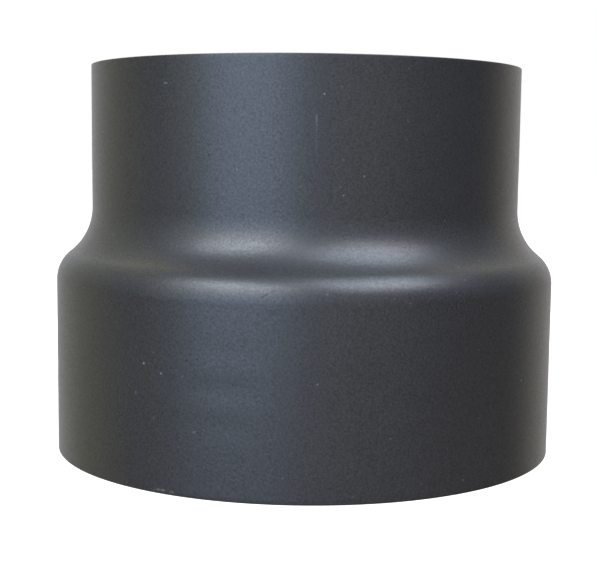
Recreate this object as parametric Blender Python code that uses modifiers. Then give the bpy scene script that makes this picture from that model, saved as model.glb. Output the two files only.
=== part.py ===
"""Concentric flue pipe reducer, a weldment of thin rolled and pressed steel, modelled in metres, +Z up.

A straight socket collar stands on the ground plane, a pressed transition ring with an S-shaped wall draws
the diameter in, and a straight spigot collar tops it. The collars and the ring are strips rolled round and
closed by a seam weld each, and two girth welds join them end to end. Every weld is dressed flush with the
outside, so that a pipe can slide over the spigot, and stands a little proud as a root bead on the inside.

The origin is on the reducer's axis, in the plane of the socket's open end.
"""

import math

import bmesh
import bpy

# Sheet and outside sizes
WALL = 0.002
SOCKET_RADIUS = 0.092
SPIGOT_RADIUS = 0.079
HEIGHT = 0.140

# S-shaped transition: the shoulder bulges outwards, the throat curves inwards, and they meet tangentially
SHOULDER_BASE_Z = 0.0625
SHOULDER_RADIUS = 0.0125
THROAT_RADIUS = 0.021
ARC_SEGMENTS = 6
LIP = 0.0025

# Welds
WELD_WIDTH = 0.003
ROOT_HEIGHT = 0.0006
ROOT_CREST_SHARE = 0.4
SEAM_REACH = 0.04
SPIGOT_SEAM_AZIMUTH = math.radians(67.5)
TRANSITION_SEAM_AZIMUTH = math.radians(97.5)
SOCKET_SEAM_AZIMUTH = math.radians(127.5)

# Edges, gaps and facets
RIM_CHAMFER = 0.00025
JOINT_GAP = 0.0003
CUTTER_MARGIN = 0.005
RING_STEPS = 72
SHARP_ANGLE = math.radians(30)

# The S-curve: the two arcs together take up the step between the collars' radii
RADIUS_STEP = SOCKET_RADIUS - SPIGOT_RADIUS
WALL_TILT = math.acos(1 - RADIUS_STEP / (SHOULDER_RADIUS + THROAT_RADIUS))
THROAT_TOP_Z = SHOULDER_BASE_Z + (SHOULDER_RADIUS + THROAT_RADIUS) * math.sin(WALL_TILT)

# Heights of the joints, from the ground up
RING_BASE_Z = SHOULDER_BASE_Z - LIP
RING_TOP_Z = THROAT_TOP_Z + LIP
SOCKET_WELD_Z = RING_BASE_Z - JOINT_GAP - WELD_WIDTH
SOCKET_TOP_Z = SOCKET_WELD_Z - JOINT_GAP
SPIGOT_WELD_Z = RING_TOP_Z + JOINT_GAP
SPIGOT_BASE_Z = SPIGOT_WELD_Z + WELD_WIDTH + JOINT_GAP

# Finishes: base colour, roughness, metallic
PAINT = ((0.03, 0.03, 0.032), 0.4, 0.0)
PAINTED_WELD = ((0.03, 0.03, 0.032), 0.45, 0.0)


def clear_scene():
    """Remove every object, so that the part is the only thing in the file."""
    for item in list(bpy.data.objects):
        bpy.data.objects.remove(item, do_unlink=True)


def new_collection(name):
    """Make a collection and link it to the scene."""
    collection = bpy.data.collections.new(name)
    bpy.context.scene.collection.children.link(collection)
    return collection


def new_material(name, finish):
    """Make a Principled material from a finish: base colour, roughness and metallic value."""
    colour, roughness, metallic = finish
    material = bpy.data.materials.new(name)
    material.use_nodes = True
    shader = material.node_tree.nodes["Principled BSDF"]
    shader.inputs["Base Color"].default_value = (*colour, 1.0)
    shader.inputs["Roughness"].default_value = roughness
    shader.inputs["Metallic"].default_value = metallic
    material.diffuse_color = (*colour, 1.0)
    return material


def shoulder_arc(radius, backwards=False):
    """Points on the shoulder's bulge, from where it meets the throat down to the socket's straight wall."""
    centre = SOCKET_RADIUS - SHOULDER_RADIUS
    angles = [WALL_TILT * (1 - step / ARC_SEGMENTS) for step in range(ARC_SEGMENTS + 1)]
    points = [(centre + radius * math.cos(a), SHOULDER_BASE_Z + radius * math.sin(a)) for a in angles]
    return points[::-1] if backwards else points


def throat_arc(radius, backwards=False):
    """Points on the throat's hollow, from the spigot's straight wall down to where it meets the shoulder."""
    centre = SPIGOT_RADIUS + THROAT_RADIUS
    angles = [WALL_TILT * step / ARC_SEGMENTS for step in range(ARC_SEGMENTS)]
    points = [(centre - radius * math.cos(a), THROAT_TOP_Z - radius * math.sin(a)) for a in angles]
    return points[::-1] if backwards else points


def transition_profile(depth):
    """Closed section of the S-shaped wall, down its outer side and up its inner side, depth further in."""
    outer = [(SPIGOT_RADIUS, RING_TOP_Z)]
    outer += throat_arc(THROAT_RADIUS) + shoulder_arc(SHOULDER_RADIUS)
    outer += [(SOCKET_RADIUS, RING_BASE_Z)]
    inner = [(SOCKET_RADIUS - depth, RING_BASE_Z)]
    inner += shoulder_arc(SHOULDER_RADIUS - depth, backwards=True)
    inner += throat_arc(THROAT_RADIUS + depth, backwards=True)
    inner += [(SPIGOT_RADIUS - depth, RING_TOP_Z)]
    return outer + inner


def collar_profile(radius, depth, bottom, top, rim):
    """Closed section of a straight wall with its edges chamfered at the open end, named by rim."""
    inside = radius - depth
    if rim == "top":
        return [(radius - RIM_CHAMFER, top), (radius, top - RIM_CHAMFER), (radius, bottom),
                (inside, bottom), (inside, top - RIM_CHAMFER), (inside + RIM_CHAMFER, top)]
    return [(radius, top), (radius, bottom + RIM_CHAMFER), (radius - RIM_CHAMFER, bottom),
            (inside + RIM_CHAMFER, bottom), (inside, bottom + RIM_CHAMFER), (inside, top)]


def girth_weld_profile(radius, bottom):
    """Closed section of a girth weld: flush on the outside, a low root bead on the inside."""
    top = bottom + WELD_WIDTH
    inside = radius - WALL
    crest = inside - ROOT_HEIGHT
    shoulder = WELD_WIDTH * (1 - ROOT_CREST_SHARE) / 2
    return [(radius, top), (radius, bottom), (inside, bottom),
            (crest, bottom + shoulder), (crest, top - shoulder), (inside, top)]


def turned_ring(name, profile, collection, parent):
    """Turn a closed section round the axis and shade it smooth, with its real edges kept sharp."""
    outline = bpy.data.meshes.new(name + "_section")
    vertices = [(radius, 0.0, z) for radius, z in profile]
    edges = [(i, (i + 1) % len(vertices)) for i in range(len(vertices))]
    outline.from_pydata(vertices, edges, [])
    ring = bpy.data.objects.new(name, outline)
    collection.objects.link(ring)
    screw = ring.modifiers.new("turn", "SCREW")
    screw.axis = "Z"
    screw.steps = RING_STEPS
    screw.render_steps = RING_STEPS
    screw.merge_threshold = 0.0001
    evaluated = ring.evaluated_get(bpy.context.evaluated_depsgraph_get())
    ring_mesh = bpy.data.meshes.new_from_object(evaluated)
    ring_mesh.name = name
    ring_mesh.shade_smooth()
    ring_mesh.set_sharp_from_angle(angle=SHARP_ANGLE)
    ring.modifiers.clear()
    ring.data = ring_mesh
    bpy.data.meshes.remove(outline)
    ring.parent = parent
    return ring


def seam_bar(name, radius, azimuth, width, bottom, top, collection, parent):
    """Make the box that marks a seam: a bar across the wall at an azimuth, used to cut or to keep."""
    mesh = bpy.data.meshes.new(name)
    form = bmesh.new()
    bmesh.ops.create_cube(form, size=1.0)
    bmesh.ops.scale(form, vec=(SEAM_REACH, width, top - bottom), verts=form.verts)
    form.to_mesh(mesh)
    form.free()
    bar = bpy.data.objects.new(name, mesh)
    bar.location = (radius * math.cos(azimuth), radius * math.sin(azimuth), (bottom + top) / 2)
    bar.rotation_euler = (0.0, 0.0, azimuth)
    bar.parent = parent
    bar.hide_render = True
    bar.display_type = "WIRE"
    collection.objects.link(bar)
    return bar


def add_boolean(target, cutter, operation):
    """Add an exact Boolean modifier to the target."""
    modifier = target.modifiers.new(operation.lower(), "BOOLEAN")
    modifier.operation = operation
    modifier.solver = "EXACT"
    modifier.object = cutter


def rolled_ring_with_seam(name, section, radius, azimuth, bottom, top, parts, cutters, parent):
    """Make a rolled ring that is open along its seam, and the seam weld that fills the opening.

    section is a function that gives the ring's closed profile for a wall depth. The weld uses the same
    section with a greater depth, so that its root stands proud inside by ROOT_HEIGHT.
    """
    low = bottom - CUTTER_MARGIN
    high = top + CUTTER_MARGIN
    slot_width = WELD_WIDTH + 2 * JOINT_GAP

    ring = turned_ring(name, section(WALL), parts, parent)
    ring.data.materials.append(new_material(name + "_paint", PAINT))
    slot = seam_bar(name + "_seam_slot", radius, azimuth, slot_width, low, high, cutters, parent)
    add_boolean(ring, slot, "DIFFERENCE")

    weld_name = name.split("_")[0] + "_seam_weld"
    weld = turned_ring(weld_name, section(WALL + ROOT_HEIGHT), parts, parent)
    weld.data.materials.append(new_material(weld_name + "_paint", PAINTED_WELD))
    strip = seam_bar(weld_name + "_strip", radius, azimuth, WELD_WIDTH, low, high, cutters, parent)
    add_boolean(weld, strip, "INTERSECT")


def socket_section(depth):
    """Section of the socket collar's wall, with its open end at the bottom."""
    return collar_profile(SOCKET_RADIUS, depth, 0.0, SOCKET_TOP_Z, rim="bottom")


def spigot_section(depth):
    """Section of the spigot collar's wall, with its open end at the top."""
    return collar_profile(SPIGOT_RADIUS, depth, SPIGOT_BASE_Z, HEIGHT, rim="top")


def girth_weld(name, radius, bottom, parts, parent):
    """Make the weld that runs round the joint between a collar and the transition ring."""
    weld = turned_ring(name, girth_weld_profile(radius, bottom), parts, parent)
    weld.data.materials.append(new_material(name + "_paint", PAINTED_WELD))


def main():
    """Build the reducer from the ground up."""
    clear_scene()
    parts = new_collection("concentric_reducer")
    cutters = new_collection("seam_cutters")
    axis = bpy.data.objects.new("reducer_axis", None)
    axis.empty_display_size = HEIGHT / 2
    parts.objects.link(axis)

    rolled_ring_with_seam("socket_collar", socket_section, SOCKET_RADIUS, SOCKET_SEAM_AZIMUTH,
                          0.0, SOCKET_TOP_Z, parts, cutters, axis)
    girth_weld("socket_girth_weld", SOCKET_RADIUS, SOCKET_WELD_Z, parts, axis)

    middle_radius = (SOCKET_RADIUS + SPIGOT_RADIUS) / 2
    rolled_ring_with_seam("transition_ring", transition_profile, middle_radius, TRANSITION_SEAM_AZIMUTH,
                          RING_BASE_Z, RING_TOP_Z, parts, cutters, axis)

    girth_weld("spigot_girth_weld", SPIGOT_RADIUS, SPIGOT_WELD_Z, parts, axis)
    rolled_ring_with_seam("spigot_collar", spigot_section, SPIGOT_RADIUS, SPIGOT_SEAM_AZIMUTH,
                          SPIGOT_BASE_Z, HEIGHT, parts, cutters, axis)


main()
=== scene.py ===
"""Looks of a concentric flue pipe reducer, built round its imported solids.

Everything is in metres, +Z up, with the reducer's axis on Z and its wide end standing on the ground. The
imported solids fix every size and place. Each of them is replaced by a finer closed surface: a section of the
wall, carried round the axis, with the small departures from true that rolling, pressing and welding leave.
"""

import logging
import math
from dataclasses import dataclass, field
from enum import Enum
from typing import Any, Mapping, Optional, Sequence, Tuple, Union

import bpy
import numpy as np
from mathutils import Matrix, Vector


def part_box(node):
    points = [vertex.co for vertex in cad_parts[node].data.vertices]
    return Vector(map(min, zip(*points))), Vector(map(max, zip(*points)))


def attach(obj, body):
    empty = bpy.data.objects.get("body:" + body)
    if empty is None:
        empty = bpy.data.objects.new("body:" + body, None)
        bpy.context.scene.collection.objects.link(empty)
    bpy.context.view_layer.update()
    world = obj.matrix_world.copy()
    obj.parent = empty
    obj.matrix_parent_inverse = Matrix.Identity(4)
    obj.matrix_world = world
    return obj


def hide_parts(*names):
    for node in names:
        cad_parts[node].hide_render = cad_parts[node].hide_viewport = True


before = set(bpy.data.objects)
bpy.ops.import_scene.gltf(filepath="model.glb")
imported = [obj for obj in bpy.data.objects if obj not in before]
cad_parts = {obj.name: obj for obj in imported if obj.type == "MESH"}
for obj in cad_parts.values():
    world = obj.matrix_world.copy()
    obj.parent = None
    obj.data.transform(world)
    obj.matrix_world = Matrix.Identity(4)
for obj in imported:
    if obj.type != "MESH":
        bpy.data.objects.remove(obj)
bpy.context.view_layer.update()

LOG = logging.getLogger("flue_reducer")
BODY = "root"
SURFACE_MAP = "surface"
FULL_TURN = 2 * math.pi
SHARP_ANGLE = math.radians(35)
RIM_STATIONS = 5
WHITE = (1.0, 1.0, 1.0, 1.0)

Colour = Tuple[float, float, float]
Band = Tuple[float, float]
Number = Union["Value", float]
Inputs = Optional[Mapping[Union[int, str], Any]]
Settings = Optional[Mapping[str, Any]]


# ---------------------------------------------------------------------------------------------------------
# Shader maths
# ---------------------------------------------------------------------------------------------------------


class Value:
    """An output of a shader node that takes part in Python expressions."""

    def __init__(self, board: "Board", socket: bpy.types.NodeSocket) -> None:
        """Keep the board and the output socket."""
        self.board = board
        self.socket = socket

    def _math(self, operation: str, first: Number, second: Number) -> "Value":
        """Add the Math node that works out one operation."""
        return self.board.add("ShaderNodeMath", {"operation": operation}, {0: first, 1: second})

    def __add__(self, other: Number) -> "Value":
        """Return self + other."""
        return self._math("ADD", self, other)

    def __radd__(self, other: Number) -> "Value":
        """Return other + self."""
        return self._math("ADD", other, self)

    def __sub__(self, other: Number) -> "Value":
        """Return self - other."""
        return self._math("SUBTRACT", self, other)

    def __rsub__(self, other: Number) -> "Value":
        """Return other - self."""
        return self._math("SUBTRACT", other, self)

    def __mul__(self, other: Number) -> "Value":
        """Return self * other."""
        return self._math("MULTIPLY", self, other)

    def __rmul__(self, other: Number) -> "Value":
        """Return other * self."""
        return self._math("MULTIPLY", other, self)

    def __abs__(self) -> "Value":
        """Return the absolute value."""
        return self._math("ABSOLUTE", self, 0.0)

    def at_least(self, floor: Number) -> "Value":
        """Return the larger of self and floor."""
        return self._math("MAXIMUM", self, floor)

    def smooth(self, low: Number, high: Number) -> "Value":
        """Rise smoothly from 0 at low to 1 at high.

        Args:
            low: where the step starts.
            high: where the step ends.

        Returns:
            The eased step, from 0 to 1.
        """
        inputs = {"Value": self, "From Min": low, "From Max": high, "To Min": 0.0, "To Max": 1.0}
        return self.board.add("ShaderNodeMapRange", {"interpolation_type": "SMOOTHSTEP"}, inputs)


class Board:
    """A node tree that is written as Python expressions."""

    MIX_COLOUR = {"factor": 0, "a": 6, "b": 7, "result": 2}
    MIX_NUMBER = {"factor": 0, "a": 2, "b": 3, "result": 0}

    def __init__(self, tree: bpy.types.NodeTree) -> None:
        """Empty the tree and keep it."""
        self.tree = tree
        tree.nodes.clear()

    def _node(self, kind: str, settings: Settings, inputs: Inputs) -> bpy.types.Node:
        """Add one node, give it its settings, then its inputs."""
        node = self.tree.nodes.new(kind)
        for name, value in (settings or {}).items():
            if name == "stops":
                self._set_stops(node.color_ramp, value)
            else:
                setattr(node, name, value)
        for key, value in (inputs or {}).items():
            if isinstance(value, Value):
                self.tree.links.new(value.socket, node.inputs[key])
            else:
                node.inputs[key].default_value = value
        return node

    def add(
        self, kind: str, settings: Settings = None, inputs: Inputs = None, output: Union[int, str] = 0
    ) -> Value:
        """Add a node that works something out.

        Args:
            kind: the node's type.
            settings: the node's own properties, set first; "stops" are a ramp's (position, colour) pairs.
            inputs: values or links for its sockets, by name or by number.
            output: the output socket to return.

        Returns:
            That output, ready for use in an expression.
        """
        return Value(self, self._node(kind, settings, inputs).outputs[output])

    def end(self, kind: str, surface: Value) -> None:
        """Add the output node that takes the finished surface."""
        self._node(kind, None, {"Surface": surface})

    @staticmethod
    def _set_stops(ramp: bpy.types.ColorRamp, stops: Sequence[Tuple[float, Colour]]) -> None:
        """Give a colour ramp its stops, in order."""
        while len(ramp.elements) > 1:
            ramp.elements.remove(ramp.elements[-1])
        ramp.elements[0].position = stops[0][0]
        ramp.elements[0].color = (*stops[0][1], 1.0)
        for position, colour in stops[1:]:
            ramp.elements.new(position).color = (*colour, 1.0)

    def noise(self, where: Value, period: float, detail: float = 0.0, rough: float = 0.5) -> Value:
        """Add smooth noise.

        Args:
            where: the coordinates it is read at, in metres.
            period: the size of its largest features, in metres.
            detail: how many finer octaves lie on top.
            rough: how strong each finer octave is.

        Returns:
            The noise, about 0.5 on average.
        """
        inputs = {"Vector": where, "Scale": 1 / period, "Detail": detail, "Roughness": rough}
        return self.add("ShaderNodeTexNoise", {"noise_dimensions": "3D"}, inputs)

    def dot(self, vector: Value, direction: Sequence[float]) -> Value:
        """Return how far a vector reaches along a direction."""
        inputs = {0: vector, 1: tuple(direction)}
        return self.add("ShaderNodeVectorMath", {"operation": "DOT_PRODUCT"}, inputs, "Value")

    def stretch(self, vector: Value, factors: Sequence[float]) -> Value:
        """Return a vector with each part multiplied by its own factor."""
        return self.add("ShaderNodeVectorMath", {"operation": "MULTIPLY"}, {0: vector, 1: tuple(factors)})

    def trait(self, name: str) -> Value:
        """Read a number that a mesh carries at its points."""
        return self.add("ShaderNodeAttribute", {"attribute_name": name}, output="Fac")

    def mix(self, share: Number, first: Number, second: Number) -> Value:
        """Blend two numbers, all first at a share of 0 and all second at 1."""
        at = self.MIX_NUMBER
        inputs = {at["factor"]: share, at["a"]: first, at["b"]: second}
        return self.add("ShaderNodeMix", {"data_type": "FLOAT"}, inputs, at["result"])

    def mix_colours(self, share: Number, first: Any, second: Any, how: str = "MIX") -> Value:
        """Blend two colours, each a Value or three numbers.

        Args:
            share: how much of the blend shows.
            first: the colour that stays at a share of 0.
            second: the colour that is blended in.
            how: the blend type, such as MIX or MULTIPLY.

        Returns:
            The blended colour.
        """
        at = self.MIX_COLOUR
        colours = [c if isinstance(c, Value) else (*c, 1.0) for c in (first, second)]
        inputs = {at["factor"]: share, at["a"]: colours[0], at["b"]: colours[1]}
        return self.add("ShaderNodeMix", {"data_type": "RGBA", "blend_type": how}, inputs, at["result"])


@dataclass(frozen=True)
class Spot:
    """Where on the surface a finish is being worked out: the place in space and the place on the wall."""

    position: Value
    unrolled: Value


@dataclass(frozen=True)
class Layer:
    """What one finish gives at a spot: its colour, roughness, metallic share and height in metres."""

    colour: Value
    roughness: Number
    metallic: float
    height: Number


# ---------------------------------------------------------------------------------------------------------
# Finishes
# ---------------------------------------------------------------------------------------------------------


class MarkRun(Enum):
    """Which way a long mark runs on the wall: the angle from level, in degrees, rising with the azimuth."""

    UPRIGHT = 90
    AROUND = 0
    RISING = 30


@dataclass(frozen=True)
class Mark:
    """One scuff, nib or chip in the paint, as a rounded stroke on the wall.

    azimuth is in degrees from +X. radius and height place its middle, length is its long side and width its
    short one, all in metres. tone lightens the paint above 0, and below 0 darkens it with painted shade as in
    a nick or pit, and lift raises it. core is the share of the width that shows in full.
    """

    azimuth: float
    radius: float
    height: float
    length: float
    width: float
    tone: float
    lift: float = 0.0
    run: MarkRun = MarkRun.UPRIGHT
    core: float = 0.35

    def mask(self, board: Board, position: Value) -> Value:
        """Return 1 on the stroke and 0 off it.

        The distance to the stroke is that to a line of the stroke's length: what lies across it, what lies
        past its ends and what lies off the wall, squared and added.
        """
        turn = math.radians(self.azimuth)
        outward = np.array((math.cos(turn), math.sin(turn), 0.0))
        sideways = np.array((-math.sin(turn), math.cos(turn), 0.0))
        upward = np.array((0.0, 0.0, 1.0))
        slope = math.radians(self.run.value)
        long_way = math.cos(slope) * sideways + math.sin(slope) * upward
        short_way = math.cos(slope) * upward - math.sin(slope) * sideways
        off_wall = board.dot(position, outward) - self.radius
        along = board.dot(position, long_way) - math.sin(slope) * self.height
        across = board.dot(position, short_way) - math.cos(slope) * self.height
        past_end = (abs(along) - max(self.length - self.width, 0.0) / 2).at_least(0.0)
        squared = across * across + past_end * past_end + off_wall * off_wall
        reach = self.width / 2
        return 1 - squared.smooth((self.core * reach) ** 2, reach**2)


@dataclass(frozen=True)
class Dots:
    """A scatter of round dots in the paint: dust nibs that stand up from it, or pinholes that go into it,
    their near-black colour painted shade in the pit.

    spacing is the size of the random pattern's cells and radius that of the largest dot. share is how much
    of the dot's own colour shows, and lift is how far it stands out.
    """

    spacing: float
    radius: float
    colour: Colour
    share: float
    lift: float
    chance: Band = (0.45, 1.0)
    core: float = 0.4
    soft_edge: float = 0.0001

    def mask(self, board: Board, spot: Spot) -> Value:
        """Scatter the dots over the unrolled wall, one in some of the cells of the random pattern.

        Args:
            board: the material's board.
            spot: where the paint is being worked out.

        Returns:
            1 on a dot and 0 off it. A cell's random number sets its dot's size, and many have none.
        """
        inputs = {"Vector": spot.unrolled, "Scale": 1 / self.spacing}
        flat = {"voronoi_dimensions": "2D"}
        distance = board.add("ShaderNodeTexVoronoi", flat, inputs)
        chance = board.add("ShaderNodeTexVoronoi", flat, inputs, "Color")
        size = board.dot(chance, (1.0, 0.0, 0.0)).smooth(*self.chance) * (self.radius / self.spacing)
        return 1 - distance.smooth(size * self.core, size + self.soft_edge)


@dataclass(frozen=True)
class StovePaint:
    """Sprayed heat resistant paint, satin-matt charcoal, with orange peel, dust nibs, pinholes and marks; the
    pinholes and the dark marks carry painted shade.

    Each pattern's period is the size of its features in metres. Its share says how much it changes the
    colour, its gloss how much it changes the roughness, and its height how far it stands up.
    """

    colour: Colour = (0.0300, 0.0304, 0.0318)
    roughness: float = 0.37
    drift_period: float = 0.030
    drift_share: float = 0.10
    drift_gloss: float = 0.06
    peel_period: float = 0.0014
    peel_height: float = 1.9e-5
    peel_gloss: float = 0.08
    grain_period: float = 0.00065
    grain_height: float = 2.2e-5
    grain_share: float = 1.7
    grain_gloss: float = 0.20
    nibs: Dots = Dots(0.011, 0.00042, (0.16, 0.16, 0.165), 0.30, 3e-5)
    # The pinholes' near-black colour is painted shade inside the pits, over their shallow dent.
    pinholes: Dots = Dots(0.012, 0.00045, (0.008, 0.008, 0.008), 0.7, -4e-5)
    rim_period: float = 0.004
    rim_band: Band = (0.42, 0.66)
    rim_share: float = 0.35
    rim_gloss: float = 0.06
    scratch_period: float = 0.0004
    scratch_stretch: Tuple[float, float, float] = (0.12, 1.0, 1.0)
    scratch_height: float = 6e-6
    scratch_gloss: float = 0.05
    ragged_period: float = 0.0011
    ragged_band: Band = (0.36, 0.60)
    ragged_least: float = 0.3
    bared: Colour = (0.20, 0.20, 0.205)
    # The dark marks' near-black colour is painted shade in nicks and pits.
    painted_pit_shade: Colour = (0.006, 0.006, 0.006)
    marks: Tuple[Mark, ...] = ()

    def lay(self, board: Board, spot: Spot) -> Layer:
        """Work out the paint at a spot.

        Args:
            board: the material's board.
            spot: where the paint is being worked out.

        Returns:
            The paint's layer.
        """
        drift = board.noise(spot.position, self.drift_period, detail=3.0) - 0.5
        peel = board.noise(spot.position, self.peel_period, detail=1.0) - 0.5
        grain = board.noise(spot.position, self.grain_period, detail=1.0) - 0.5
        wear = board.noise(spot.position, self.rim_period, detail=3.0).smooth(*self.rim_band)
        worn = wear * board.trait("rim")
        shade = 1 + drift * self.drift_share + grain * self.grain_share + worn * self.rim_share
        colour = board.mix_colours(1.0, self.colour, shade, "MULTIPLY")
        roughness = self.roughness + drift * self.drift_gloss + peel * self.peel_gloss
        roughness = roughness - grain * self.grain_gloss - worn * self.rim_gloss
        height = peel * self.peel_height + grain * self.grain_height
        for dots in (self.nibs, self.pinholes):
            mask = dots.mask(board, spot)
            # Nibs lighten the paint with dust; pinholes darken it with painted shade.
            colour = board.mix_colours(mask * dots.share, colour, dots.colour)
            height = height + mask * dots.lift

        dressed = board.trait("dressed")
        stretched = board.stretch(spot.unrolled, self.scratch_stretch)
        lines = board.noise(stretched, self.scratch_period, detail=2.0) - 0.5
        height = height + dressed * lines * self.scratch_height
        roughness = roughness + dressed * self.scratch_gloss

        breaks = board.noise(spot.position, self.ragged_period, detail=2.0).smooth(*self.ragged_band)
        ragged = self.ragged_least + (1 - self.ragged_least) * breaks
        for mark in self.marks:
            stroke = mark.mask(board, spot.position) * ragged
            # A light mark shows bared paint; a dark one is painted shade in a nick or pit.
            tone = self.bared if mark.tone > 0 else self.painted_pit_shade
            colour = board.mix_colours(stroke * abs(mark.tone), colour, tone)
            height = height + stroke * mark.lift
        return Layer(colour, roughness, 0.0, height)


@dataclass(frozen=True)
class MillSteel:
    """Cold rolled sheet, dull and faintly oxidised, with rolling streaks and heat tint beside the welds."""

    dark: Colour = (0.075, 0.076, 0.080)
    light: Colour = (0.150, 0.150, 0.152)
    roughness: float = 0.46
    metallic: float = 0.75
    streak_period: float = 0.0008
    streak_stretch: Tuple[float, float, float] = (0.02, 1.0, 1.0)
    streak_height: float = 6e-6
    streak_gloss: float = 0.10
    cloud_period: float = 0.018
    cloud_gloss: float = 0.25
    shade_band: Band = (0.35, 0.65)
    heat_sway: float = 0.12
    tint_band: Band = (0.04, 0.25)
    tint: Tuple[Tuple[float, Colour], ...] = (
        (0.00, (0.110, 0.110, 0.113)),
        (0.30, (0.140, 0.118, 0.082)),
        (0.52, (0.092, 0.066, 0.062)),
        (0.74, (0.048, 0.055, 0.080)),
        (1.00, (0.080, 0.084, 0.092)),
    )

    def lay(self, board: Board, spot: Spot) -> Layer:
        """Work out the bare sheet at a spot.

        Args:
            board: the material's board.
            spot: where the steel is being worked out.

        Returns:
            The steel's layer.
        """
        stretched = board.stretch(spot.unrolled, self.streak_stretch)
        streaks = board.noise(stretched, self.streak_period, detail=3.0) - 0.5
        clouds = board.noise(spot.position, self.cloud_period, detail=4.0, rough=0.6) - 0.5
        light = ((streaks + clouds) * 0.5 + 0.5).smooth(*self.shade_band)
        heat = board.trait("heat") + clouds * self.heat_sway
        tinted = board.add("ShaderNodeValToRGB", {"stops": self.tint}, {0: heat})
        sheet = board.mix_colours(light, self.dark, self.light)
        colour = board.mix_colours(heat.smooth(*self.tint_band), sheet, tinted)
        roughness = self.roughness + clouds * self.cloud_gloss + streaks * self.streak_gloss
        return Layer(colour, roughness, self.metallic, streaks * self.streak_height)


@dataclass(frozen=True)
class WeldSteel:
    """Root bead left as welded: bright rippled steel with thin brown and blue oxide."""

    bright: Colour = (0.200, 0.195, 0.186)
    oxide: Colour = (0.115, 0.100, 0.090)
    roughness: float = 0.34
    metallic: float = 0.85
    cloud_period: float = 0.003
    cloud_band: Band = (0.30, 0.70)
    cloud_gloss: float = 0.3
    scale_period: float = 0.0007
    scale_height: float = 1.2e-5
    scale_gloss: float = 0.2

    def lay(self, board: Board, spot: Spot) -> Layer:
        """Work out the weld metal at a spot.

        Args:
            board: the material's board.
            spot: where the weld is being worked out.

        Returns:
            The weld metal's layer.
        """
        clouds = board.noise(spot.position, self.cloud_period, detail=3.0, rough=0.6)
        scale = board.noise(spot.position, self.scale_period, detail=2.0) - 0.5
        colour = board.mix_colours(clouds.smooth(*self.cloud_band), self.bright, self.oxide)
        roughness = self.roughness + (clouds - 0.5) * self.cloud_gloss + scale * self.scale_gloss
        return Layer(colour, roughness, self.metallic, scale * self.scale_height)


@dataclass(frozen=True)
class CoatedWall:
    """Paint over steel: full on the outside, and thinning to overspray down the inside."""

    name: str
    paint: StovePaint
    steel: Union[MillSteel, WeldSteel]
    mist_period: float = 0.0011
    mist_share: float = 0.55
    patch_period: float = 0.010
    patch_share: float = 0.35
    cover_band: Band = (0.38, 0.62)

    def material(self) -> bpy.types.Material:
        """Make the material.

        Returns:
            A Principled material that mixes the steel and the paint by how much coat a point carries.
        """
        material = bpy.data.materials.new(self.name)
        material.use_nodes = True
        board = Board(material.node_tree)
        position = board.add("ShaderNodeTexCoord", output="Object")
        spot = Spot(position, board.add("ShaderNodeUVMap", {"uv_map": SURFACE_MAP}))
        mist = board.noise(position, self.mist_period, detail=2.0) - 0.5
        patches = board.noise(position, self.patch_period, detail=2.0) - 0.5
        coat = board.trait("coat") + mist * self.mist_share + patches * self.patch_share
        cover = coat.smooth(*self.cover_band)
        paint = self.paint.lay(board, spot)
        steel = self.steel.lay(board, spot)
        height = board.mix(cover, steel.height, paint.height)
        bump = board.add("ShaderNodeBump", None, {"Strength": 1.0, "Distance": 1.0, "Height": height})
        inputs = {
            "Base Color": board.mix_colours(cover, steel.colour, paint.colour),
            "Roughness": board.mix(cover, steel.roughness, paint.roughness),
            "Metallic": board.mix(cover, steel.metallic, paint.metallic),
            "Normal": bump,
        }
        shader = board.add("ShaderNodeBsdfPrincipled", None, inputs)
        board.end("ShaderNodeOutputMaterial", shader)
        return material


# ---------------------------------------------------------------------------------------------------------
# Shapes
# ---------------------------------------------------------------------------------------------------------


def gap_middle(lower: str, upper: str) -> float:
    """Return the height half way between one solid's top and the next one's bottom."""
    return (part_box(lower)[1].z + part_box(upper)[0].z) / 2


def azimuth_of(node: str) -> float:
    """Return the azimuth of the middle of a solid that lies to one side of the axis, in radians."""
    low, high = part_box(node)
    return math.atan2(low.y + high.y, low.x + high.x)


def turn_from(start: float, azimuth: np.ndarray) -> np.ndarray:
    """Return the signed turn from one azimuth to others: the angle of their unit vectors' quotient."""
    return np.angle(np.exp(1j * (azimuth - start)))


def bell(distance: np.ndarray, reach: float) -> np.ndarray:
    """Return a bell curve: e to the power of minus the squared distance in reaches."""
    return np.exp(-((distance / reach) ** 2))



@dataclass(frozen=True)
class ReducerSizes:
    """The reducer's sizes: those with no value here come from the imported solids."""

    socket_radius: float
    spigot_radius: float
    height: float
    ring_base: float
    socket_joint: Tuple[float, float]
    spigot_joint: Tuple[float, float]
    wall: float = 0.002
    shoulder_radius: float = 0.0125
    throat_radius: float = 0.021
    lip: float = 0.0025
    rim_radius: float = 0.0003
    weld_width: float = 0.003

    @classmethod
    def from_frame(cls) -> "ReducerSizes":
        """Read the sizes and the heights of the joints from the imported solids."""
        return cls(
            socket_radius=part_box("socket_collar")[1].x,
            spigot_radius=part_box("spigot_collar")[1].x,
            height=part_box("spigot_collar")[1].z,
            ring_base=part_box("transition_ring")[0].z,
            socket_joint=(
                gap_middle("socket_collar", "socket_girth_weld"),
                gap_middle("socket_girth_weld", "transition_ring"),
            ),
            spigot_joint=(
                gap_middle("transition_ring", "spigot_girth_weld"),
                gap_middle("spigot_girth_weld", "spigot_collar"),
            ),
        )

    @property
    def tilt(self) -> float:
        """The steepest lean of the S-shaped wall, where its two arcs meet."""
        step = self.socket_radius - self.spigot_radius
        return math.acos(1 - step / (self.shoulder_radius + self.throat_radius))

    @property
    def shoulder_base(self) -> float:
        """The height at which the socket's straight wall ends."""
        return self.ring_base + self.lip

    @property
    def throat_top(self) -> float:
        """The height at which the spigot's straight wall starts."""
        return self.shoulder_base + (self.shoulder_radius + self.throat_radius) * math.sin(self.tilt)


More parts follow.
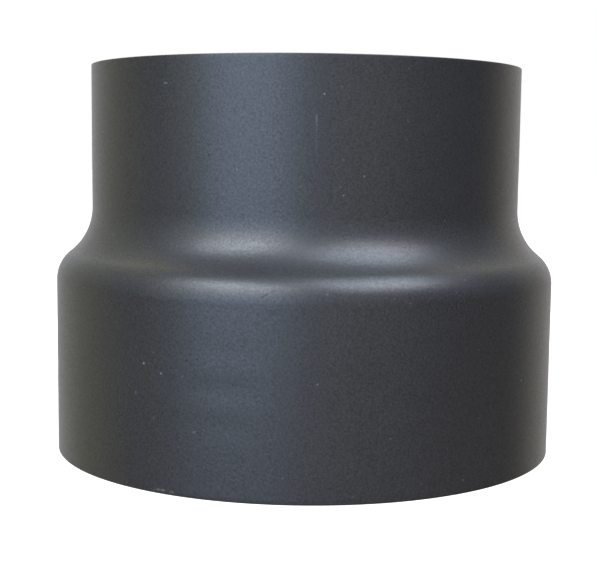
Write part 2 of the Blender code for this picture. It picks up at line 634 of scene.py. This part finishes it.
@dataclass(frozen=True)
class WallCurve:
    """Stations down a wall's outer face: radius, height, and the angle of its outward normal above level."""

    radius: np.ndarray
    height: np.ndarray
    lean: np.ndarray

    @classmethod
    def straight(cls, radius: float, top: float, bottom: float, count: int) -> "WallCurve":
        """Make evenly spaced stations down a straight wall."""
        return cls(np.full(count, radius), np.linspace(top, bottom, count), np.zeros(count))

    @classmethod
    def s_shaped(cls, sizes: ReducerSizes, top: float, bottom: float, count: int) -> "WallCurve":
        """Make stations down the transition: a short lip, the throat's arc, the shoulder's arc, a lip.

        Each arc's point is its centre, plus or minus its radius along the normal. The normal leans from
        level up to the steepest tilt down the throat, and back to level down the shoulder.

        Args:
            sizes: the reducer's sizes.
            top: the height of the upper edge.
            bottom: the height of the lower edge.
            count: the number of stations down each arc.

        Returns:
            The curve, from top to bottom.
        """
        lip_count = 4
        upper = cls.straight(sizes.spigot_radius, top, sizes.throat_top, lip_count)
        lower = cls.straight(sizes.socket_radius, sizes.shoulder_base, bottom, lip_count)
        opening = np.linspace(0, sizes.tilt, count)
        closing = opening[::-1]
        throat = cls(
            sizes.spigot_radius + sizes.throat_radius * (1 - np.cos(opening)),
            sizes.throat_top - sizes.throat_radius * np.sin(opening),
            opening,
        )
        shoulder = cls(
            sizes.socket_radius - sizes.shoulder_radius * (1 - np.cos(closing)),
            sizes.shoulder_base + sizes.shoulder_radius * np.sin(closing),
            closing,
        )
        return cls.joined([upper, throat, shoulder, lower])

    @classmethod
    def joined(cls, runs: Sequence["WallCurve"]) -> "WallCurve":
        """Join runs end to end, dropping each later run's first station, which the one before ends on."""
        def together(name: str) -> np.ndarray:
            """Return one of the three arrays, joined."""
            arrays = [getattr(run, name) for run in runs]
            return np.concatenate([arrays[0]] + [array[1:] for array in arrays[1:]])

        return cls(together("radius"), together("height"), together("lean"))

    def inset(self, depth: float) -> "WallCurve":
        """Return the curve moved against its normal by a depth."""
        radius = self.radius - depth * np.cos(self.lean)
        return WallCurve(radius, self.height - depth * np.sin(self.lean), self.lean)


class OpenEnd(Enum):
    """Which end of a wall is a free, rounded rim."""

    NONE = "none"
    TOP = "top"
    BOTTOM = "bottom"


@dataclass(frozen=True)
class WallLoop:
    """A closed section of the wall: down the outer face, round the bottom, up the inner face, over the top.

    inner is 1 on the inner face, 0 on the outer one and a half between, and rim is 1 on a rounded rim. The
    outer face has outer_count stations, the rounding under it bottom_count and the inner face inner_count.
    """

    radius: np.ndarray
    height: np.ndarray
    lean: np.ndarray
    inner: np.ndarray
    rim: np.ndarray
    outer_count: int
    bottom_count: int
    inner_count: int

    @classmethod
    def close(cls, outer: WallCurve, inner: WallCurve, end: OpenEnd, rim_radius: float) -> "WallLoop":
        """Close an outer and an inner curve into a loop.

        A free end is rounded by two quarter circles of the rim's radius, with the flat of the rim between
        them. The curves stop one rim radius short of that end.

        Args:
            outer: the outer face, top to bottom.
            inner: the inner face, top to bottom.
            end: the end that is a free rim.
            rim_radius: the radius of the rim's edges.

        Returns:
            The loop.
        """
        quarter = np.linspace(0, math.pi / 2, RIM_STATIONS)
        out, up = rim_radius * np.sin(quarter), rim_radius * np.cos(quarter)
        bottom_r, bottom_z, top_r, top_z = (np.zeros(0) for _ in range(4))
        if end is OpenEnd.BOTTOM:
            low, r_out, r_in = outer.height[-1], outer.radius[-1] - rim_radius, inner.radius[-1] + rim_radius
            bottom_r = np.concatenate([(r_out + up)[1:], (r_in - out)[:-1]])
            bottom_z = np.concatenate([(low - out)[1:], (low - up)[:-1]])
        if end is OpenEnd.TOP:
            high, r_out, r_in = outer.height[0], outer.radius[0] - rim_radius, inner.radius[0] + rim_radius
            top_r = np.concatenate([(r_in - up)[1:], (r_out + out)[:-1]])
            top_z = np.concatenate([(high + out)[1:], (high + up)[:-1]])
        counts = (outer.radius.size, bottom_r.size, inner.radius.size, top_r.size)
        level_bottom, level_top = np.zeros(bottom_r.size), np.zeros(top_r.size)
        return cls(
            radius=np.concatenate([outer.radius, bottom_r, inner.radius[::-1], top_r]),
            height=np.concatenate([outer.height, bottom_z, inner.height[::-1], top_z]),
            lean=np.concatenate([outer.lean, level_bottom, inner.lean[::-1], level_top]),
            inner=np.repeat([0.0, 0.5, 1.0, 0.5], counts),
            rim=np.repeat([0.0, 1.0, 0.0, 1.0], counts),
            outer_count=counts[0],
            bottom_count=counts[1],
            inner_count=counts[2],
        )

    def along(self) -> np.ndarray:
        """Return the distance walked round the loop to each station, with its full length at the end."""
        out, up = (np.diff(line, append=line[0]) for line in (self.radius, self.height))
        return np.concatenate([[0.0], np.cumsum(np.hypot(out, up))])


@dataclass(frozen=True)
class Swell:
    """A patch of faint level ridges in the wall, its azimuth in degrees and reach_around in radians."""

    azimuth: float
    height: float
    reach_around: float
    reach_up: float
    pitch: float
    rise: float

    def offset(self, azimuth: np.ndarray, height: np.ndarray) -> np.ndarray:
        """Return the rise: a cosine of the height, faded by bell curves of the azimuth and the height."""
        turn = turn_from(math.radians(self.azimuth), azimuth)
        up = height - self.height
        faded = bell(turn, self.reach_around) * bell(up, self.reach_up)
        return self.rise * faded * np.cos(FULL_TURN * up / self.pitch)


@dataclass(frozen=True)
class TubeTruth:
    """How far the wall departs from true: slightly oval, faintly lobed, with local swells, in metres."""

    oval: float = 0.00008
    lobes: float = 0.00003
    oval_azimuth: float = math.radians(35)
    lobe_azimuth: float = math.radians(80)
    swells: Tuple[Swell, ...] = (
        Swell(azimuth=254, height=0.0356, reach_around=0.15, reach_up=0.015, pitch=0.0126, rise=-0.00006),
        Swell(azimuth=196, height=0.0320, reach_around=0.18, reach_up=0.014, pitch=0.0140, rise=-0.00004),
        Swell(azimuth=10, height=0.0340, reach_around=0.20, reach_up=0.014, pitch=0.0130, rise=-0.00004),
        Swell(azimuth=96, height=0.0300, reach_around=0.17, reach_up=0.013, pitch=0.0135, rise=-0.00004),
    )

    def offset(self, azimuth: np.ndarray, height: np.ndarray) -> np.ndarray:
        """Return how far the wall stands out of true.

        It is a two-lobed and a three-lobed cosine, each less its own peak, so that the wall is only drawn
        in by them and stays within its nominal size, plus the swells.
        """
        out = self.oval * (np.cos(2 * (azimuth - self.oval_azimuth)) - 1)
        out = out + self.lobes * (np.cos(3 * (azimuth - self.lobe_azimuth)) - 1)
        for swell in self.swells:
            out = out + swell.offset(azimuth, height)
        return out


@dataclass(frozen=True)
class RootBead:
    """The bead that a weld leaves inside: a low round ridge with crescent ripples along it."""

    rise: float = 0.0006
    pitch: float = 0.0013
    ripple: float = 0.16
    crescent: float = 2.2
    roundness: float = 1.5
    sway: float = 0.10
    sway_length: float = 0.023
    beat: float = 0.6
    beat_length: float = FULL_TURN / 300

    def offset(self, across: np.ndarray, along: np.ndarray) -> np.ndarray:
        """Return the bead's height.

        It is the rise, times a ridge that falls to 0 at both edges, times one plus a ripple and plus a slow
        sway. The ripple is a cosine whose phase trails towards the edges, so it draws crescents. The sway is
        two sines of nearly the same length, which beat.

        Args:
            across: place across the weld, from -1 to 1.
            along: distance along the weld, in metres.

        Returns:
            The height above the wall's inner face.
        """
        ridge = np.clip(1 - across**2, 0, 1) ** self.roundness
        ripples = np.cos(FULL_TURN * along / self.pitch + self.crescent * across**2)
        slow = np.sin(FULL_TURN * along / self.sway_length)
        slow = slow + self.beat * np.sin(FULL_TURN * along / self.beat_length + 1)
        return self.rise * ridge * (1 + self.ripple * ripples + self.sway * slow)


@dataclass
class Sheet:
    """A wall section carried round the axis, from one azimuth to another or all the way round."""

    loop: WallLoop
    azimuths: np.ndarray
    whole_turn: bool
    outward: np.ndarray
    traits: Mapping[str, np.ndarray]

    def points(self) -> np.ndarray:
        """Return the points, (azimuth, station, xyz): the station moved out along its normal, then turned."""
        radius = self.loop.radius + self.outward * np.cos(self.loop.lean)
        height = self.loop.height + self.outward * np.sin(self.loop.lean)
        turn = self.azimuths[:, None]
        return np.stack([radius * np.cos(turn), radius * np.sin(turn), height], axis=2)

    def _grid(self) -> Tuple[np.ndarray, np.ndarray, np.ndarray]:
        """Return the quads over the grid, with each corner's azimuth step and station step."""
        stations = self.loop.radius.size
        turns = self.azimuths.size if self.whole_turn else self.azimuths.size - 1
        i, j = np.meshgrid(np.arange(turns), np.arange(stations), indexing="ij")
        step_i = np.stack([i, i, i + 1, i + 1], axis=2).reshape(-1, 4)
        step_j = np.stack([j, j + 1, j + 1, j], axis=2).reshape(-1, 4)
        return (step_i % self.azimuths.size) * stations + step_j % stations, step_i, step_j

    def _end_faces(self, row: int, flipped: bool) -> Sequence[np.ndarray]:
        """Return the faces that close the section at one azimuth: quads through the wall, and its rim."""
        loop = self.loop
        start = row * loop.radius.size
        outer = np.arange(loop.outer_count)
        inner_top = loop.outer_count + loop.bottom_count + loop.inner_count - 1
        inner = inner_top - outer
        faces = [np.stack([outer[:-1], outer[1:], inner[1:], inner[:-1]], axis=1)]
        if loop.bottom_count:
            faces.append(np.arange(loop.outer_count - 1, loop.outer_count + loop.bottom_count + 1)[None])
        if inner_top + 1 < loop.radius.size:
            faces.append(np.append(np.arange(inner_top, loop.radius.size), 0)[None])
        return [start + (face[:, ::-1] if flipped else face) for face in faces]

    def piece(self, name: str) -> bpy.types.Object:
        """Make the mesh object.

        Args:
            name: the piece's name.

        Returns:
            A closed mesh with the unrolled wall as its UV map, in metres, and the traits at its points.
        """
        points = self.points().reshape(-1, 3)
        quads, step_i, step_j = self._grid()
        step = (self.azimuths[1] - self.azimuths[0]) * self.loop.radius.mean()
        unrolled = [np.stack([step_i * step, self.loop.along()[step_j]], axis=2)]
        faces = [quads]
        if not self.whole_turn:
            for row, flipped in ((0, True), (self.azimuths.size - 1, False)):
                for face in self._end_faces(row, flipped):
                    x, y, z = points[face].transpose(2, 0, 1)
                    faces.append(face)
                    unrolled.append(np.stack([np.hypot(x, y), z], axis=2))
        corners = np.concatenate([face.ravel() for face in faces])
        counts = np.concatenate([np.full(len(face), face.shape[1]) for face in faces])
        starts = np.concatenate([[0], np.cumsum(counts)[:-1]])

        mesh = bpy.data.meshes.new(name)
        mesh.vertices.add(len(points))
        mesh.vertices.foreach_set("co", points.astype(np.float32).ravel())
        mesh.loops.add(corners.size)
        mesh.loops.foreach_set("vertex_index", corners.astype(np.int32))
        mesh.polygons.add(counts.size)
        mesh.polygons.foreach_set("loop_start", starts.astype(np.int32))
        mesh.update(calc_edges=True)
        flat = np.concatenate([part.reshape(-1, 2) for part in unrolled])
        mesh.uv_layers.new(name=SURFACE_MAP).data.foreach_set("uv", flat.astype(np.float32).ravel())
        for trait, values in self.traits.items():
            attribute = mesh.attributes.new(trait, "FLOAT", "POINT")
            attribute.data.foreach_set("value", values.astype(np.float32).ravel())
        mesh.validate()
        mesh.shade_smooth()
        mesh.set_sharp_from_angle(angle=SHARP_ANGLE)
        item = bpy.data.objects.new(name, mesh)
        bpy.context.scene.collection.objects.link(item)
        return item


# ---------------------------------------------------------------------------------------------------------
# The reducer's parts
# ---------------------------------------------------------------------------------------------------------


@dataclass(frozen=True)
class Overspray:
    """How the paint thins inside: full at an open end, fading within a reach, with a little left deep in."""

    reach: float = 0.020
    least: float = 0.12

    def coat(self, height: np.ndarray, inner: np.ndarray, total: float) -> np.ndarray:
        """Return the coat at each point, 1 on the outside, by the distance inside from the nearer end."""
        depth = np.clip(np.minimum(height, total - height), 0, None)
        inside = self.least + (1 - self.least) * bell(depth, self.reach)
        return 1 + (inside - 1) * inner


def girth_heat(sizes: ReducerSizes, height: np.ndarray, reach: float) -> np.ndarray:
    """Return the heat tint near the girth welds: a bell curve of the distance to the nearer one's middle."""
    middles = [np.mean(joint) for joint in (sizes.socket_joint, sizes.spigot_joint)]
    return bell(np.minimum(*[np.abs(height - middle) for middle in middles]), reach)


@dataclass
class Course:
    """One rolled strip of the reducer with the weld that closes it: a collar or the transition ring."""

    sizes: ReducerSizes
    node: str
    seam_node: str
    end: OpenEnd = OpenEnd.NONE
    marks: Tuple[Mark, ...] = ()
    steps: int = 360
    spacing: float = 0.0012
    seam_steps: int = 16
    seam_spacing: float = 0.00026
    probe_spacing: float = 0.001
    sink: float = 0.00003
    heat_reach: float = 0.0055
    dress_reach: float = 0.0032
    truth: TubeTruth = field(default_factory=TubeTruth)
    bead: RootBead = field(default_factory=RootBead)
    overspray: Overspray = field(default_factory=Overspray)

    def curve(self, spacing: float) -> WallCurve:
        """Return the outer face's stations, about spacing apart, from top to bottom."""
        raise NotImplementedError

    def _seam_half_angle(self) -> float:
        """Return half the angle that the seam weld takes up, at the mean radius of the stations."""
        return self.sizes.weld_width / 2 / float(self.curve(self.probe_spacing).radius.mean())

    def _sheet(self, spacing: float, azimuths: np.ndarray, is_weld: bool) -> Sheet:
        """Work out the wall between two azimuths, as the rolled sheet or as the weld that closes it.

        Args:
            spacing: the distance between stations down the wall.
            azimuths: the azimuths of the grid's rows.
            is_weld: True for the weld, which has a root bead inside and is dressed outside.

        Returns:
            The sheet, ready to be made into a piece.
        """
        sizes = self.sizes
        outer = self.curve(spacing)
        loop = WallLoop.close(outer, outer.inset(sizes.wall), self.end, sizes.rim_radius)
        turn = azimuths[:, None]
        from_seam = turn_from(azimuth_of(self.seam_node), turn)
        outward = self.truth.offset(turn, loop.height[None])
        if is_weld:
            across = from_seam / self._seam_half_angle()
            bead = self.bead.offset(across, loop.along()[:-1][None]) * (loop.inner == 1.0)
            outward = outward - bead - self.sink * (1 - across**2) * (loop.inner == 0.0)
        distance = from_seam * loop.radius[None]
        girth = girth_heat(sizes, loop.height, self.heat_reach)
        coat = self.overspray.coat(loop.height, loop.inner, sizes.height)
        traits = {
            "coat": np.broadcast_to(coat, outward.shape),
            "rim": np.broadcast_to(loop.rim, outward.shape),
            "heat": np.maximum(girth[None], bell(distance, self.heat_reach)) * loop.inner,
            "dressed": bell(distance, self.dress_reach) * (loop.inner < 1.0),
        }
        return Sheet(loop, azimuths, False, outward, traits)

    def shell(self) -> bpy.types.Object:
        """Make the rolled sheet, open along its seam, and dress it."""
        seam, half = azimuth_of(self.seam_node), self._seam_half_angle()
        azimuths = np.linspace(seam + half, seam + FULL_TURN - half, self.steps)
        piece = self._sheet(self.spacing, azimuths, is_weld=False).piece(self.node + "_shell")
        finish = CoatedWall(self.node + "_finish", StovePaint(marks=self.marks), MillSteel())
        return dress(piece, finish, self.node)

    def seam(self) -> bpy.types.Object:
        """Make the weld that closes the strip and dress it."""
        seam, half = azimuth_of(self.seam_node), self._seam_half_angle()
        azimuths = np.linspace(seam - half, seam + half, self.seam_steps + 1)
        piece = self._sheet(self.seam_spacing, azimuths, is_weld=True).piece(self.seam_node + "_bead")
        finish = CoatedWall(self.seam_node + "_finish", StovePaint(), WeldSteel())
        return dress(piece, finish, self.seam_node)

    def build(self) -> Sequence[bpy.types.Object]:
        """Make both pieces."""
        return [self.shell(), self.seam()]


@dataclass
class SocketCollar(Course):
    """The wide straight collar that slips over the stove's outlet."""

    node: str = "socket_collar"
    seam_node: str = "socket_seam_weld"
    end: OpenEnd = OpenEnd.BOTTOM

    def curve(self, spacing: float) -> WallCurve:
        """Return stations down the straight wall, from the girth weld to just above the rim."""
        top, bottom = self.sizes.socket_joint[0], self.sizes.rim_radius
        return WallCurve.straight(self.sizes.socket_radius, top, bottom, round((top - bottom) / spacing))


@dataclass
class TransitionRing(Course):
    """The pressed ring that draws the diameter in."""

    node: str = "transition_ring"
    seam_node: str = "transition_seam_weld"
    least_count: int = 20

    def curve(self, spacing: float) -> WallCurve:
        """Return stations down the S-shaped wall, from one girth weld to the other."""
        sizes = self.sizes
        mean_arc = sizes.tilt * (sizes.shoulder_radius + sizes.throat_radius) / 2
        count = max(self.least_count, round(mean_arc / spacing))
        return WallCurve.s_shaped(sizes, sizes.spigot_joint[0], sizes.socket_joint[1], count)


@dataclass
class SpigotCollar(Course):
    """The narrow straight collar that goes into the next pipe."""

    node: str = "spigot_collar"
    seam_node: str = "spigot_seam_weld"
    end: OpenEnd = OpenEnd.TOP

    def curve(self, spacing: float) -> WallCurve:
        """Return stations down the straight wall, from just under the rim to the girth weld."""
        top, bottom = self.sizes.height - self.sizes.rim_radius, self.sizes.spigot_joint[1]
        return WallCurve.straight(self.sizes.spigot_radius, top, bottom, round((top - bottom) / spacing))


@dataclass
class GirthWeld:
    """A weld all the way round: dressed flush outside, with a rippled root bead inside."""

    sizes: ReducerSizes
    node: str
    radius: float
    joint: Tuple[float, float]
    turns: int = 2160
    outer_count: int = 3
    inner_count: int = 13
    truth: TubeTruth = field(default_factory=TubeTruth)
    bead: RootBead = field(default_factory=RootBead)
    overspray: Overspray = field(default_factory=Overspray)

    def build(self) -> Sequence[bpy.types.Object]:
        """Make the weld: its section carried round the axis, with the bead moving the inner face inwards."""
        bottom, top = self.joint
        outer = WallCurve.straight(self.radius, top, bottom, self.outer_count)
        inner = WallCurve.straight(self.radius - self.sizes.wall, top, bottom, self.inner_count)
        loop = WallLoop.close(outer, inner, OpenEnd.NONE, self.sizes.rim_radius)
        azimuths = np.arange(self.turns) * (FULL_TURN / self.turns)
        turn = azimuths[:, None]
        across = (loop.height - (top + bottom) / 2) / ((top - bottom) / 2)
        whole_ripples = round(FULL_TURN * (self.radius - self.sizes.wall) / self.bead.pitch)
        along = turn / FULL_TURN * whole_ripples * self.bead.pitch
        outward = self.truth.offset(turn, loop.height[None])
        outward = outward - self.bead.offset(across[None], along) * loop.inner
        coat = self.overspray.coat(loop.height, loop.inner, self.sizes.height)
        traits = {
            "coat": np.broadcast_to(coat, outward.shape),
            "rim": np.zeros(outward.shape),
            "heat": np.broadcast_to(loop.inner, outward.shape),
            "dressed": np.zeros(outward.shape),
        }
        piece = Sheet(loop, azimuths, True, outward, traits).piece(self.node + "_bead")
        finish = CoatedWall(self.node + "_finish", StovePaint(), WeldSteel())
        return [dress(piece, finish, self.node)]


def dress(piece: bpy.types.Object, finish: CoatedWall, node: str) -> bpy.types.Object:
    """Give a piece its finish and its place in the frame.

    Args:
        piece: the new piece.
        finish: what it is finished with.
        node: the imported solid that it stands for.

    Returns:
        The piece.
    """
    piece.data.materials.append(finish.material())
    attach(piece, BODY)
    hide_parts(node)
    return piece


# ---------------------------------------------------------------------------------------------------------
# Studio
# ---------------------------------------------------------------------------------------------------------

LEFT, RIGHT = (-1.0, 0.0, 0.0), (1.0, 0.0, 0.0)
FRONT, BACK = (0.0, -1.0, 0.0), (0.0, 1.0, 0.0)
DOWN, UP = (0.0, 0.0, -1.0), (0.0, 0.0, 1.0)


def direction(azimuth: float, elevation: float) -> Vector:
    """Return the unit vector at an azimuth from +X and an elevation, both in degrees."""
    turn, rise = math.radians(azimuth), math.radians(elevation)
    return Vector((math.cos(turn) * math.cos(rise), math.sin(turn) * math.cos(rise), math.sin(rise)))


@dataclass(frozen=True)
class Softbox:
    """A soft panel lamp that faces the object, sized by the angles that it fills, in degrees.

    watts_per_area is the power for each square metre at which a panel's face shines with its colour as given.
    """

    name: str
    azimuth: float
    elevation: float
    half_width: float
    half_height: float
    glow: Colour
    distance: float = 2.5
    watts_per_area: float = 4.0

    def place(self, target: Vector) -> None:
        """Put the lamp up, facing the target, with the power that gives its face the wanted glow."""
        lamp = bpy.data.lights.new(self.name, "AREA")
        lamp.shape = "RECTANGLE"
        lamp.size = 2 * self.distance * math.tan(math.radians(self.half_width))
        lamp.size_y = 2 * self.distance * math.tan(math.radians(self.half_height))
        lamp.energy = self.watts_per_area * lamp.size * lamp.size_y
        lamp.color = self.glow
        item = bpy.data.objects.new(self.name, lamp)
        back = direction(self.azimuth, self.elevation)
        item.location = target + back * self.distance
        item.rotation_euler = (-back).to_track_quat("-Z", "Y").to_euler()
        item.visible_camera = False
        bpy.context.scene.collection.objects.link(item)


@dataclass(frozen=True)
class CameraPlace:
    """Where the camera stands and how it points, in metres and degrees."""

    distance: float = 0.4701
    height: float = 0.110
    pitch: float = 6.415
    yaw: float = -0.256
    roll: float = -0.617
    lens: float = 75.2
    sensor: float = 36.0

    def place(self) -> None:
        """Make the camera the scene's own: it looks along +Y, turned by yaw, dipped by pitch, then rolled."""
        pitch, yaw, roll = (math.radians(angle) for angle in (self.pitch, self.yaw, self.roll))
        ahead = Vector((math.sin(yaw) * math.cos(pitch), math.cos(yaw) * math.cos(pitch), -math.sin(pitch)))
        level = Vector((math.cos(yaw), -math.sin(yaw), 0.0))
        below = ahead.cross(level)
        right = math.cos(roll) * level + math.sin(roll) * below
        up = math.sin(roll) * level - math.cos(roll) * below
        axes = Matrix((right, up, -ahead)).transposed()
        data = bpy.data.cameras.new("camera")
        data.lens = self.lens
        data.sensor_width = self.sensor
        item = bpy.data.objects.new("camera", data)
        item.matrix_world = Matrix.Translation((0.0, -self.distance, self.height)) @ axes.to_4x4()
        bpy.context.scene.collection.objects.link(item)
        bpy.context.scene.camera = item


@dataclass(frozen=True)
class Glow:
    """A soft patch of the surroundings: a colour, and the ramps whose product says where it lies.

    Each ramp is a direction, with how far a ray must reach along it for the glow to start and to be full.
    """

    colour: Colour
    ramps: Tuple[Tuple[Colour, float, float], ...]

    def share(self, board: Board, ray: Value) -> Value:
        """Return how much of the glow is seen along a ray: the product of its ramps."""
        share, *rest = [board.dot(ray, way).smooth(start, full) for way, start, full in self.ramps]
        for ramp in rest:
            share = share * ramp
        return share


@dataclass(frozen=True)
class Studio:
    """A plain pale floor, soft glows from the surroundings, and soft panels left, right and in front."""

    floor_size: float = 12.0
    floor_drop: float = 0.0001
    floor_roughness: float = 0.9
    floor_grey: Colour = (0.50, 0.50, 0.50)
    # The floor's glow near the object, dimmed to paint a shadow there.
    painted_floor_shade: Colour = (0.80, 0.80, 0.80)
    shade_band: Band = (0.12, 0.40)
    glows: Tuple[Glow, ...] = (
        Glow((0.41, 0.38, 0.18), ((BACK, -0.10, 0.30), (LEFT, -0.2, 0.2), (DOWN, -0.92, -0.70))),
        Glow((0.23, 0.26, 0.38), ((BACK, 0.30, 0.70), (LEFT, -0.2, 0.2), (DOWN, -0.92, -0.70))),
        Glow((0.68, 0.65, 0.56), ((BACK, 0.25, 0.70), (RIGHT, -0.2, 0.2), (DOWN, -0.92, -0.70))),
        Glow((0.33, 0.33, 0.45), ((BACK, 0.70, 0.95),)),
        Glow((1.10, 0.98, 0.55), ((BACK, 0.10, 0.45), (UP, 0.55, 0.80))),
        Glow((0.18, 0.11, 0.05), ((FRONT, -0.45, -0.10), (DOWN, -0.10, 0.30))),
    )
    softboxes: Tuple[Softbox, ...] = (
        Softbox("left_low_panel", 242, 6, 22, 16, (1.7, 2.3, 3.2)),
        Softbox("left_middle_panel", 240, 30, 17, 8, (4.6, 4.7, 4.8)),
        Softbox("left_high_panel", 233, 45, 18, 8, (8.7, 9.5, 10.8)),
        Softbox("left_edge_panel", 210, 20, 8, 20, (0.8, 0.8, 0.65)),
        Softbox("right_middle_panel", 315, 45, 17, 7, (7.6, 7.8, 8.8)),
        Softbox("right_high_panel", 316, 60, 20, 8, (5.8, 6.6, 7.8)),
        Softbox("front_fill_panel", 292, 4, 26, 14, (0.33, 0.34, 0.33)),
    )

    def _floor(self) -> None:
        """Lay the floor: white but for a faint painted shade near the object, where its glow is dimmed, and
        not mirrored or lighting it.
        """
        half = self.floor_size / 2
        corners = [(-half, -half), (half, -half), (half, half), (-half, half)]
        mesh = bpy.data.meshes.new("floor")
        mesh.from_pydata([(x, y, -self.floor_drop) for x, y in corners], [], [(0, 1, 2, 3)])
        floor = bpy.data.objects.new("floor", mesh)
        floor.visible_glossy = False
        floor.visible_diffuse = False
        bpy.context.scene.collection.objects.link(floor)
        material = bpy.data.materials.new("pale_floor")
        material.use_nodes = True
        board = Board(material.node_tree)
        position = board.add("ShaderNodeTexCoord", output="Object")
        reach = board.add("ShaderNodeVectorMath", {"operation": "LENGTH"}, {0: position}, "Value")
        # Painted shadow: the floor's glow is dimmed round the object, on top of its real shadow.
        glow = board.mix_colours(reach.smooth(*self.shade_band), self.painted_floor_shade, WHITE[:3])
        inputs = {
            "Base Color": (*self.floor_grey, 1.0),
            "Roughness": self.floor_roughness,
            "Emission Color": glow,
            "Emission Strength": 1.0,
        }
        shader = board.add("ShaderNodeBsdfPrincipled", None, inputs)
        board.end("ShaderNodeOutputMaterial", shader)
        mesh.materials.append(material)

    def _surroundings(self) -> None:
        """Set the world: the glows added up on black, and plain white where the camera sees it directly."""
        world = bpy.data.worlds.new("surroundings")
        world.use_nodes = True
        bpy.context.scene.world = world
        board = Board(world.node_tree)
        ray = board.add("ShaderNodeTexCoord", output="Generated")
        colour: Union[Value, Colour] = (0.0, 0.0, 0.0)
        for glow in self.glows:
            colour = board.mix_colours(glow.share(board, ray), colour, glow.colour, "ADD")
        lit = board.add("ShaderNodeBackground", None, {"Color": colour, "Strength": 1.0})
        seen = board.add("ShaderNodeBackground", None, {"Color": WHITE, "Strength": 1.0})
        direct = board.add("ShaderNodeLightPath", output="Is Camera Ray")
        shader = board.add("ShaderNodeMixShader", None, {0: direct, 1: lit, 2: seen})
        board.end("ShaderNodeOutputWorld", shader)

    def build(self, middle: Vector) -> None:
        """Set the studio up round the object's middle."""
        view = bpy.context.scene.view_settings
        view.view_transform = "Standard"
        view.look = "None"
        self._floor()
        self._surroundings()
        for softbox in self.softboxes:
            softbox.place(middle)


# ---------------------------------------------------------------------------------------------------------
# Marks in the paint
# ---------------------------------------------------------------------------------------------------------

RELIEF = 2.5e-5
ON_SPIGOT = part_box("spigot_collar")[1].x
ON_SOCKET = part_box("socket_collar")[1].x


def scar(
    azimuth: float, radius: float, height: float, length: float, width: float, tone: float, run: MarkRun
) -> Mark:
    """Return a stroke with relief: a light one stands up from the paint, a dark one goes into it, darkened
    with painted shade.
    """
    return Mark(azimuth, radius, height, length, width, tone, math.copysign(RELIEF, tone), run)


def speck(azimuth: float, radius: float, height: float, width: float, tone: float) -> Mark:
    """Return a round scar."""
    return scar(azimuth, radius, height, 0.0, width, tone, MarkRun.UPRIGHT)


# Each mark gives its azimuth, the wall's radius there, its height, its length unless it is a speck, its
# width and its tone, a negative tone being painted shade in a nick or pit. The scuff and the nicks made
# with Mark itself lie flat.
SPIGOT_MARKS = (
    Mark(272.4, ON_SPIGOT, 0.1185, 0.0055, 0.0009, 0.20),
    Mark(272.4, ON_SPIGOT, 0.1150, 0.0130, 0.0008, 0.12),
    Mark(235.0, ON_SPIGOT, 0.1310, 0.0016, 0.0006, 0.70, run=MarkRun.AROUND),
    speck(274.1, ON_SPIGOT, 0.1275, 0.0009, 0.78),
    speck(266.7, ON_SPIGOT, 0.0930, 0.0010, 0.72),
    speck(283.6, ON_SPIGOT, 0.1020, 0.0010, 0.72),
    speck(278.8, ON_SPIGOT, 0.0960, 0.0009, 0.65),
    Mark(276.4, ON_SPIGOT, 0.1380, 0.0014, 0.0008, -0.80, run=MarkRun.AROUND),
    speck(247.1, ON_SPIGOT, 0.1080, 0.0013, -1.00),
    speck(247.0, ON_SPIGOT, 0.1115, 0.0011, -1.00),
    speck(277.8, ON_SPIGOT, 0.1194, 0.0008, -0.78),
)
RING_MARKS = (
    scar(262.5, 0.0916, 0.0655, 0.0030, 0.0010, -1.00, MarkRun.RISING),
    scar(264.0, 0.0913, 0.0667, 0.0020, 0.0009, -1.00, MarkRun.RISING),
    scar(256.4, 0.0909, 0.0676, 0.0014, 0.0009, -0.85, MarkRun.RISING),
    scar(256.2, 0.0791, 0.0866, 0.0014, 0.0007, -0.91, MarkRun.RISING),
    speck(282.4, 0.0819, 0.0784, 0.0008, -0.65),
    speck(274.5, 0.0914, 0.0663, 0.0009, 0.59),
)
SOCKET_MARKS = (
    speck(236.3, ON_SOCKET, 0.0417, 0.0012, 1.00),
    speck(240.6, ON_SOCKET, 0.0391, 0.0010, 0.78),
    scar(234.1, ON_SOCKET, 0.0318, 0.0012, 0.0009, 0.59, MarkRun.UPRIGHT),
    scar(248.2, ON_SOCKET, 0.0215, 0.0014, 0.0010, 0.65, MarkRun.AROUND),
    speck(272.8, ON_SOCKET, 0.0384, 0.0010, 0.78),
    scar(314.2, ON_SOCKET, 0.0607, 0.0020, 0.0009, 0.59, MarkRun.RISING),
    speck(323.2, ON_SOCKET, 0.0336, 0.0011, 0.78),
    speck(304.6, ON_SOCKET, 0.0045, 0.0010, 0.65),
    Mark(240.5, ON_SOCKET, 0.0013, 0.0035, 0.0009, 0.55, run=MarkRun.AROUND),
    Mark(243.1, ON_SOCKET, 0.0012, 0.0018, 0.0008, 0.50, run=MarkRun.AROUND),
    scar(246.5, ON_SOCKET, 0.0440, 0.0018, 0.0008, -0.91, MarkRun.AROUND),
)


# ---------------------------------------------------------------------------------------------------------
# Build
# ---------------------------------------------------------------------------------------------------------


def main() -> None:
    """Build the reducer from the ground up, then the studio round it."""
    logging.basicConfig(level=logging.INFO, format="%(message)s")
    sizes = ReducerSizes.from_frame()
    parts = (
        SocketCollar(sizes, marks=SOCKET_MARKS),
        GirthWeld(sizes, "socket_girth_weld", sizes.socket_radius, sizes.socket_joint),
        TransitionRing(sizes, marks=RING_MARKS),
        GirthWeld(sizes, "spigot_girth_weld", sizes.spigot_radius, sizes.spigot_joint),
        SpigotCollar(sizes, marks=SPIGOT_MARKS),
    )
    for part in parts:
        for piece in part.build():
            mesh = piece.data
            LOG.info("%s: %d points, %d faces", piece.name, len(mesh.vertices), len(mesh.polygons))
    Studio().build(Vector((0.0, 0.0, sizes.height / 2)))
    CameraPlace().place()


if __name__ == "__main__":
    main()
